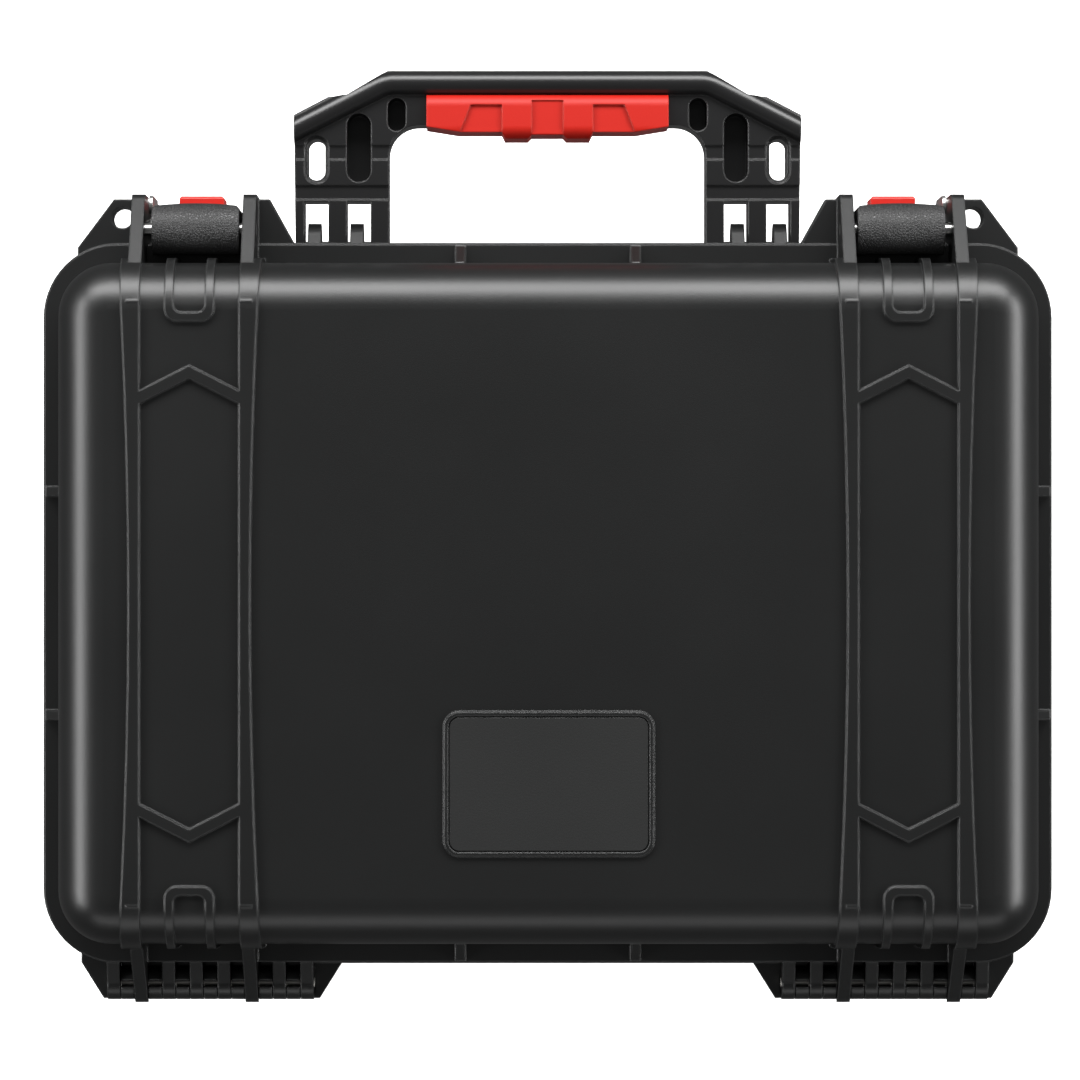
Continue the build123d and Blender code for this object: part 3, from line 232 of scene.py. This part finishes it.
def grow(name, tree, material, place=(0, 0, 0), **values):
    """Evaluate a tree once and keep the result as a plain mesh at the given place."""
    host = bpy.data.objects.new(f"{name}_host", bpy.data.meshes.new(f"{name}_host"))
    bpy.context.scene.collection.objects.link(host)
    modifier = host.modifiers.new("grow", "NODES")
    modifier.node_group = tree
    for item in tree.interface.items_tree:
        if item.in_out == "INPUT" and item.name in values:
            modifier[item.identifier] = values[item.name]
        if item.in_out == "INPUT" and item.name == "Material":
            modifier[item.identifier] = material
    shape = host.evaluated_get(bpy.context.evaluated_depsgraph_get())
    mesh = bpy.data.meshes.new_from_object(shape)
    bpy.data.objects.remove(host)
    mesh.transform(Matrix.Translation(place))
    mesh.name = name
    made = bpy.data.objects.new(name, mesh)
    bpy.context.scene.collection.objects.link(made)
    return made


def make_cord_ring_tree():
    """A closed cord of oval section along a rounded rectangle."""
    tree = new_tree(
        "cord_ring",
        ("Width", 0.3),
        ("Length", 0.2),
        ("Corner", 0.02),
        ("Thickness", 0.003),
        ("Height", 0.002),
    )
    n, link = tree.nodes, tree.links.new
    inp = n.new("NodeGroupInput")
    path = n.new("GeometryNodeCurvePrimitiveQuadrilateral")
    corners = n.new("GeometryNodeFilletCurve")
    corners.mode = "POLY"
    corners.inputs["Count"].default_value = 14
    profile = n.new("GeometryNodeCurvePrimitiveCircle")
    profile.inputs["Resolution"].default_value = 16
    profile.inputs["Radius"].default_value = 0.5
    size = n.new("ShaderNodeCombineXYZ")
    squeeze = n.new("GeometryNodeTransform")
    sweep = n.new("GeometryNodeCurveToMesh")
    link(inp.outputs["Width"], path.inputs["Width"])
    link(inp.outputs["Length"], path.inputs["Height"])
    link(path.outputs["Curve"], corners.inputs["Curve"])
    link(inp.outputs["Corner"], corners.inputs["Radius"])
    link(inp.outputs["Height"], size.inputs["X"])
    link(inp.outputs["Thickness"], size.inputs["Y"])
    link(profile.outputs["Curve"], squeeze.inputs["Geometry"])
    link(size.outputs["Vector"], squeeze.inputs["Scale"])
    link(corners.outputs["Curve"], sweep.inputs["Curve"])
    link(squeeze.outputs["Geometry"], sweep.inputs["Profile Curve"])
    finish_tree(tree, sweep.outputs["Mesh"], inp)
    return tree


SEAL_GREY = (0.02, 0.02, 0.021)
seal_grey = plastic("seal_grey", SEAL_GREY, SEAL_GREY, 0.6, 900.0, 0.03 * MM, 0.3 * MM)
seal_low, seal_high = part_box("lid_gasket")
seal_height = seal_high[2] - seal_low[2]
lid_seal = grow(
    "lid_seal",
    make_cord_ring_tree(),
    seal_grey,
    place=(0, 0, (seal_low[2] + seal_high[2]) / 2),
    Width=seal_high[0] - seal_low[0] - SEAL_WIDTH,
    Length=seal_high[1] - seal_low[1] - SEAL_WIDTH,
    Corner=SEAL_CORNER,
    Thickness=SEAL_WIDTH,
    Height=seal_height,
)
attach(lid_seal, "lid")
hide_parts("lid_gasket")

# ---------------------------------------------------------------- pins, guards and rivets
# Every pin is drawn stainless rod, cut and pressed in. The latch guards are stamped from
# stainless sheet and held to the outer ribs with tubular rivets.


def steel(name, colour, roughness, stretch):
    """Drawn or rolled stainless: fine lines along the axis with the smallest scale."""
    material = bpy.data.materials.new(name)
    material.use_nodes = True
    n, link = material.node_tree.nodes, material.node_tree.links.new
    shader = n["Principled BSDF"]
    shader.inputs["Metallic"].default_value = 1.0
    shader.inputs["Base Color"].default_value = (*colour, 1.0)
    coords = n.new("ShaderNodeTexCoord")
    mapping = n.new("ShaderNodeMapping")
    mapping.inputs["Scale"].default_value = stretch
    lines = n.new("ShaderNodeTexNoise")
    lines.inputs["Scale"].default_value = 900.0
    lines.inputs["Detail"].default_value = 2.0
    rough = n.new("ShaderNodeMapRange")
    rough.inputs["To Min"].default_value = roughness - 0.08
    rough.inputs["To Max"].default_value = roughness + 0.1
    bump = n.new("ShaderNodeBump")
    bump.inputs["Distance"].default_value = 0.01 * MM
    edges = n.new("ShaderNodeGroup")
    edges.node_tree = edge_group
    edges.inputs["Radius"].default_value = 0.2 * MM
    link(coords.outputs["Object"], mapping.inputs["Vector"])
    link(mapping.outputs["Vector"], lines.inputs["Vector"])
    link(lines.outputs["Fac"], rough.inputs["Value"])
    link(rough.outputs["Result"], shader.inputs["Roughness"])
    link(lines.outputs["Fac"], bump.inputs["Height"])
    link(edges.outputs["Normal"], bump.inputs["Normal"])
    link(bump.outputs["Normal"], shader.inputs["Normal"])
    return material


ALONG_X = (0.08, 1.0, 1.0)
ALONG_Z = (1.0, 1.0, 0.08)
pin_steel = steel("pin_steel", (0.58, 0.58, 0.57), 0.28, ALONG_X)
sheet_steel = steel("sheet_steel", (0.66, 0.66, 0.65), 0.34, ALONG_Z)
hinge_steel = steel("hinge_steel", (0.8, 0.78, 0.74), 0.5, ALONG_X)
for side in ("left", "right"):
    for stem in ("handle_pin_{}", "latch_{}_lever_pin", "latch_{}_release_pin"):
        paint(stem.format(side), pin_steel)
    paint(f"hinge_pin_{side}", hinge_steel)
    paint(f"latch_guard_{side}", sheet_steel)
    paint(f"guard_rivets_{side}", pin_steel)

# ---------------------------------------------------------------- latch levers
# Each lever is moulded in glass-filled nylon with a coarse leather grain on the outside,
# and turns on a steel pin between the two ribs of its bay.


def hide(name, colour, painted_crease_shade, roughness, cell, depth, radius):
    """Plastic with a leather grain: flat pebbles between creases."""
    material = bpy.data.materials.new(name)
    material.use_nodes = True
    n, link = material.node_tree.nodes, material.node_tree.links.new
    shader = n["Principled BSDF"]
    coords = n.new("ShaderNodeTexCoord")
    warp = n.new("ShaderNodeTexNoise")
    warp.inputs["Scale"].default_value = 1.4 / cell
    shift = n.new("ShaderNodeVectorMath")
    shift.operation = "MULTIPLY_ADD"
    shift.inputs[1].default_value = (cell, cell, cell)
    pebbles = n.new("ShaderNodeTexVoronoi")
    pebbles.feature = "DISTANCE_TO_EDGE"
    pebbles.inputs["Scale"].default_value = 1.0 / cell
    crown = n.new("ShaderNodeMapRange")
    crown.interpolation_type = "SMOOTHSTEP"
    crown.inputs["From Max"].default_value = 0.28
    bump = n.new("ShaderNodeBump")
    bump.inputs["Distance"].default_value = depth
    edges = n.new("ShaderNodeGroup")
    edges.node_tree = edge_group
    edges.inputs["Radius"].default_value = radius
    # Painted shade: the creases take the darker colour, standing in for the shade that falls into them.
    tint = n.new("ShaderNodeMix")
    tint.data_type = "RGBA"
    tint.inputs["A"].default_value = (*painted_crease_shade, 1.0)
    tint.inputs["B"].default_value = (*colour, 1.0)
    rough = n.new("ShaderNodeMapRange")
    rough.inputs["To Min"].default_value = roughness + 0.15
    rough.inputs["To Max"].default_value = roughness
    link(coords.outputs["Object"], warp.inputs["Vector"])
    link(warp.outputs["Color"], shift.inputs[0])
    link(coords.outputs["Object"], shift.inputs[2])
    link(shift.outputs["Vector"], pebbles.inputs["Vector"])
    link(pebbles.outputs["Distance"], crown.inputs["Value"])
    link(crown.outputs["Result"], bump.inputs["Height"])
    link(crown.outputs["Result"], tint.inputs["Factor"])
    link(crown.outputs["Result"], rough.inputs["Value"])
    link(edges.outputs["Normal"], bump.inputs["Normal"])
    link(bump.outputs["Normal"], shader.inputs["Normal"])
    link(tint.outputs["Result"], shader.inputs["Base Color"])
    link(rough.outputs["Result"], shader.inputs["Roughness"])
    return material


# The second colour is the painted shade in the creases of the grain.
latch_black = hide(
    "latch_black", (0.016, 0.016, 0.0165), (0.006, 0.006, 0.006), 0.36, 0.9 * MM, 0.12 * MM, 0.9 * MM
)
for side in ("left", "right"):
    paint(f"latch_{side}_lever", latch_black)

# ---------------------------------------------------------------- latch releases
# The red push pieces are moulded in acetal, smooth and slightly glossy. Each rocks on a
# short pin in its lever, and a stainless torsion spring keeps its hook under the lip.

release_red = plastic(
    "release_red", (0.42, 0.012, 0.007), (0.6, 0.09, 0.07), 0.32, 2600.0, 0.012 * MM, 0.5 * MM
)
SPRING_WIRE = 0.32 * MM
SPRING_TURNS = 4.6


def make_coil_tree():
    """A close wire coil along X, centred on the origin."""
    tree = new_tree("coil", ("Turns", 5.0), ("Radius", 0.002), ("Length", 0.004), ("Wire", 0.0003))
    n, link = tree.nodes, tree.links.new
    inp = n.new("NodeGroupInput")
    helix = n.new("GeometryNodeCurveSpiral")
    helix.inputs["Resolution"].default_value = 20
    centre = n.new("ShaderNodeMath")
    centre.operation = "MULTIPLY"
    centre.inputs[1].default_value = -0.5
    offset = n.new("ShaderNodeCombineXYZ")
    slide = n.new("GeometryNodeTransform")
    turn = n.new("GeometryNodeTransform")
    turn.inputs["Rotation"].default_value = (0, math.pi / 2, 0)
    profile = n.new("GeometryNodeCurvePrimitiveCircle")
    profile.inputs["Resolution"].default_value = 8
    sweep = n.new("GeometryNodeCurveToMesh")
    sweep.inputs["Fill Caps"].default_value = True
    link(inp.outputs["Turns"], helix.inputs["Rotations"])
    link(inp.outputs["Radius"], helix.inputs["Start Radius"])
    link(inp.outputs["Radius"], helix.inputs["End Radius"])
    link(inp.outputs["Length"], helix.inputs["Height"])
    link(inp.outputs["Length"], centre.inputs[0])
    link(centre.outputs["Value"], offset.inputs["Z"])
    link(helix.outputs["Curve"], slide.inputs["Geometry"])
    link(offset.outputs["Vector"], slide.inputs["Translation"])
    link(slide.outputs["Geometry"], turn.inputs["Geometry"])
    link(inp.outputs["Wire"], profile.inputs["Radius"])
    link(turn.outputs["Geometry"], sweep.inputs["Curve"])
    link(profile.outputs["Curve"], sweep.inputs["Profile Curve"])
    finish_tree(tree, sweep.outputs["Mesh"], inp)
    return tree


coil_tree = make_coil_tree()
for side in ("left", "right"):
    paint(f"latch_{side}_release", release_red)
    low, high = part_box(f"latch_{side}_spring")
    spring = grow(
        f"release_spring_{side}",
        coil_tree,
        pin_steel,
        place=[(a + b) / 2 for a, b in zip(low, high)],
        Turns=SPRING_TURNS,
        Radius=(high[1] - low[1]) / 2 - SPRING_WIRE,
        Length=high[0] - low[0] - 2 * SPRING_WIRE,
        Wire=SPRING_WIRE,
    )
    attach(spring, f"release_{side}")
    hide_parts(f"latch_{side}_spring")

# ---------------------------------------------------------------- handle
# The frame is one moulding of glass-filled nylon, glossier than the shell from handling.
# A soft red elastomer grip is moulded round the middle of its bar.

handle_black = plastic(
    "handle_black", (0.0075, 0.0075, 0.0077), (0.03, 0.03, 0.03), 0.28, 2600.0, 0.025 * MM, 0.9 * MM
)
paint("handle_frame", handle_black)
grip_red = plastic(
    "grip_red", (0.33, 0.006, 0.0015), (0.4, 0.02, 0.01), 0.5, 1400.0, 0.03 * MM, 0.7 * MM
)
grip_red.node_tree.nodes["Principled BSDF"].inputs["Specular IOR Level"].default_value = 0.3
paint("handle_grip", grip_red)

# ---------------------------------------------------------------- pressure valve
# A moulded plastic valve in the front wall lets air through its membrane and keeps water
# out. An O-ring seals its head against the wall, and a nut holds it from inside.

valve_black = plastic(
    "valve_black", (0.01, 0.01, 0.0102), (0.03, 0.03, 0.03), 0.3, 2600.0, 0.015 * MM, 0.3 * MM
)
for name in ("valve_body", "valve_nut"):
    paint(name, valve_black)
for name in ("valve_o_ring", "valve_membrane"):
    paint(name, seal_grey)

# ---------------------------------------------------------------- foam
# The inserts are cut from charcoal closed-cell foam: a tray with a pocket for each thing,
# a plain sheet under it, and an egg-crate sheet glued into the lid.


def foam(name, colour, painted_pore_shade, cell, depth):
    """Cut foam: small cells of mixed size over a slow unevenness."""
    material = bpy.data.materials.new(name)
    material.use_nodes = True
    n, link = material.node_tree.nodes, material.node_tree.links.new
    shader = n["Principled BSDF"]
    shader.inputs["Specular IOR Level"].default_value = 0.2
    shader.inputs["Sheen Weight"].default_value = 0.15
    coords = n.new("ShaderNodeTexCoord")
    cells = n.new("ShaderNodeTexVoronoi")
    cells.inputs["Scale"].default_value = 1.0 / cell
    walls = n.new("ShaderNodeMapRange")
    walls.inputs["From Min"].default_value = 0.1
    walls.inputs["From Max"].default_value = 0.55
    tool = n.new("ShaderNodeGroup")
    tool.node_tree = grain_group
    tool.inputs["Scale"].default_value = 260.0
    tool.inputs["Roughness"].default_value = 0.92
    tool.inputs["Spread"].default_value = 0.1
    mix = n.new("ShaderNodeMath")
    mix.operation = "MULTIPLY_ADD"
    mix.inputs[1].default_value = 0.6
    bump = n.new("ShaderNodeBump")
    bump.inputs["Distance"].default_value = depth
    # Painted shade: the hollow of each cut cell takes the darker colour, standing in for the shade
    # inside the pores.
    tint = n.new("ShaderNodeMix")
    tint.data_type = "RGBA"
    tint.inputs["A"].default_value = (*painted_pore_shade, 1.0)
    tint.inputs["B"].default_value = (*colour, 1.0)
    link(coords.outputs["Object"], cells.inputs["Vector"])
    link(cells.outputs["Distance"], walls.inputs["Value"])
    link(walls.outputs["Result"], mix.inputs[0])
    link(tool.outputs["Height"], mix.inputs[2])
    link(mix.outputs["Value"], bump.inputs["Height"])
    link(bump.outputs["Normal"], shader.inputs["Normal"])
    link(walls.outputs["Result"], tint.inputs["Factor"])
    link(tint.outputs["Result"], shader.inputs["Base Color"])
    link(tool.outputs["Roughness"], shader.inputs["Roughness"])
    return material


# The second colour is the painted shade in the pores.
foam_charcoal = foam("foam_charcoal", (0.03, 0.031, 0.033), (0.012, 0.012, 0.013), 0.7 * MM, 0.25 * MM)


def cut_foam(node, name, body, rounding):
    """A foam piece on a CAD node's outline, its cut edges rounded over."""
    shape = bmesh.new()
    shape.from_mesh(nodes[node].data)
    bmesh.ops.remove_doubles(shape, verts=shape.verts, dist=0.01 * MM)
    bmesh.ops.dissolve_limit(shape, angle_limit=math.radians(2), verts=shape.verts, edges=shape.edges)
    sharp = [e for e in shape.edges if len(e.link_faces) == 2 and e.calc_face_angle() > math.radians(40)]
    bmesh.ops.bevel(shape, geom=sharp, offset=rounding, segments=3, profile=0.5, affect="EDGES")
    bmesh.ops.triangulate(shape, faces=[f for f in shape.faces if len(f.verts) > 4])
    mesh = bpy.data.meshes.new(name)
    shape.to_mesh(mesh)
    shape.free()
    for face in mesh.polygons:
        face.use_smooth = True
    mesh.materials.append(foam_charcoal)
    made = bpy.data.objects.new(name, mesh)
    bpy.context.scene.collection.objects.link(made)
    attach(made, body)
    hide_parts(node)


cut_foam("foam_tray", "tray_insert", "base", 0.9 * MM)
cut_foam("foam_floor", "floor_insert", "base", 0.9 * MM)

CRATE_PITCH = 27.0 * MM
CRATE_DEPTH = 14.0 * MM
CRATE_STEP = 2.6 * MM
CRATE_CORNER = 14.9 * MM
CRATE_SHOULDER = 12.0 * MM
BACK_CORNER = 10.9 * MM
LIP_DRAW = 0.015            # how far the side leans in before the shoulder, as a share


def plan_point(u, v, width, length, corner):
    """A point of a square grid, from -1 to 1 each way, laid into a rounded rectangle."""
    x, y = u * width / 2, v * length / 2
    over_x, over_y = abs(x) - (width / 2 - corner), abs(y) - (length / 2 - corner)
    if over_x > 0 and over_y > 0:
        reach = max(over_x, over_y)
        angle = math.atan2(over_y, over_x)
        x = math.copysign(width / 2 - corner + reach * math.cos(angle), x)
        y = math.copysign(length / 2 - corner + reach * math.sin(angle), y)
    return x, y


def make_crate_sheet(low, high):
    """The lid's foam: pyramids and hollows below, a flat back with sloped shoulders."""
    width, length = high[0] - low[0], high[1] - low[1]
    columns, rows = round(width / CRATE_STEP), round(length / CRATE_STEP)
    shape = bmesh.new()
    under, back = {}, {}
    for i in range(columns + 1):
        for j in range(rows + 1):
            u, v = 2 * i / columns - 1, 2 * j / rows - 1
            x, y = plan_point(u, v, width, length, CRATE_CORNER)
            wave = math.sin(math.tau * x / CRATE_PITCH) * math.sin(math.tau * y / CRATE_PITCH)
            z = low[2] + CRATE_DEPTH * (0.5 - 0.5 * wave)
            under[i, j] = shape.verts.new((x, y, z))
            x, y = plan_point(u, v, width - CRATE_SHOULDER, length - CRATE_SHOULDER, BACK_CORNER)
            back[i, j] = shape.verts.new((x, y, high[2]))
    for i in range(columns):
        for j in range(rows):
            shape.faces.new((under[i, j], under[i, j + 1], under[i + 1, j + 1], under[i + 1, j]))
            shape.faces.new((back[i, j], back[i + 1, j], back[i + 1, j + 1], back[i, j + 1]))
    loop = [(i, 0) for i in range(columns)] + [(columns, j) for j in range(rows)]
    loop += [(i, rows) for i in range(columns, 0, -1)] + [(0, j) for j in range(rows, 0, -1)]
    lip = {}
    for key in loop:
        x, y, _ = under[key].co.lerp(back[key].co, LIP_DRAW)
        lip[key] = shape.verts.new((x, y, high[2] - CRATE_SHOULDER))
    for first, second in zip(loop, loop[1:] + loop[:1]):
        shape.faces.new((under[first], under[second], lip[second], lip[first]))
        shape.faces.new((lip[first], lip[second], back[second], back[first]))
    bmesh.ops.recalc_face_normals(shape, faces=shape.faces)
    return shape


crate_low, crate_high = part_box("lid_foam")
crate = make_crate_sheet(crate_low, crate_high)
crate_mesh = bpy.data.meshes.new("lid_crate")
crate.to_mesh(crate_mesh)
crate.free()
for face in crate_mesh.polygons:
    face.use_smooth = True
crate_mesh.materials.append(foam_charcoal)
lid_crate = bpy.data.objects.new("lid_crate", crate_mesh)
bpy.context.scene.collection.objects.link(lid_crate)
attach(lid_crate, "lid")
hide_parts("lid_foam")

# ---------------------------------------------------------------- floor, lights and camera
# A plain pale floor that gives no reflections, a long soft light beyond the handle, one at
# each side, a weak one behind the hinges, and a faint glow all round. The lid stays dark.

bpy.ops.mesh.primitive_plane_add(size=8.0)
floor = bpy.context.object
floor.name = "studio_floor"
floor_paint = bpy.data.materials.new("studio_floor")
floor_paint.use_nodes = True
floor_shader = floor_paint.node_tree.nodes["Principled BSDF"]
floor_shader.inputs["Base Color"].default_value = (0.9, 0.9, 0.9, 1.0)
floor_shader.inputs["Roughness"].default_value = 0.8
floor_shader.inputs["Specular IOR Level"].default_value = 0.1
floor_shader.inputs["Emission Color"].default_value = (1.0, 1.0, 1.0, 1.0)
floor_shader.inputs["Emission Strength"].default_value = 0.75
floor.data.materials.append(floor_paint)
floor.visible_glossy = False


def soft_light(name, place, target, size, power):
    """A rectangular area light, aimed at a point."""
    lamp = bpy.data.lights.new(name, "AREA")
    lamp.shape = "RECTANGLE"
    lamp.size, lamp.size_y = size
    lamp.energy = power
    made = bpy.data.objects.new(name, lamp)
    made.location = place
    made.rotation_euler = (Vector(target) - Vector(place)).to_track_quat("-Z", "Y").to_euler()
    bpy.context.scene.collection.objects.link(made)


soft_light("light_front", (0.0, -1.22, 0.92), (0, 0, 0.1), (2.4, 0.7), 62)
soft_light("light_left", (-1.35, -0.1, 0.75), (0, 0, 0.1), (1.6, 0.5), 26)
soft_light("light_right", (1.35, -0.1, 0.75), (0, 0, 0.1), (1.6, 0.5), 24)
soft_light("light_back", (0.0, 1.3, 0.8), (0, 0, 0.1), (2.0, 0.5), 5)

world = bpy.data.worlds.new("studio")
world.use_nodes = True
world.node_tree.nodes["Background"].inputs["Color"].default_value = (1, 1, 1, 1)
world.node_tree.nodes["Background"].inputs["Strength"].default_value = 0.11
bpy.context.scene.world = world

rim_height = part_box("base_shell")[1][2]
view_distance = 1.6
camera_data = bpy.data.cameras.new("camera")
camera_data.sensor_width = 36.0
camera_data.lens = 160.6
camera_data.shift_x = 0.0346
camera_data.shift_y = 0.0305
camera = bpy.data.objects.new("camera", camera_data)
camera.location = (0.015, -0.010, rim_height + view_distance)
camera.rotation_euler = (0.0, 0.0, math.pi)
bpy.context.scene.collection.objects.link(camera)
bpy.context.scene.camera = camera
bpy.context.scene.view_settings.view_transform = "Standard"
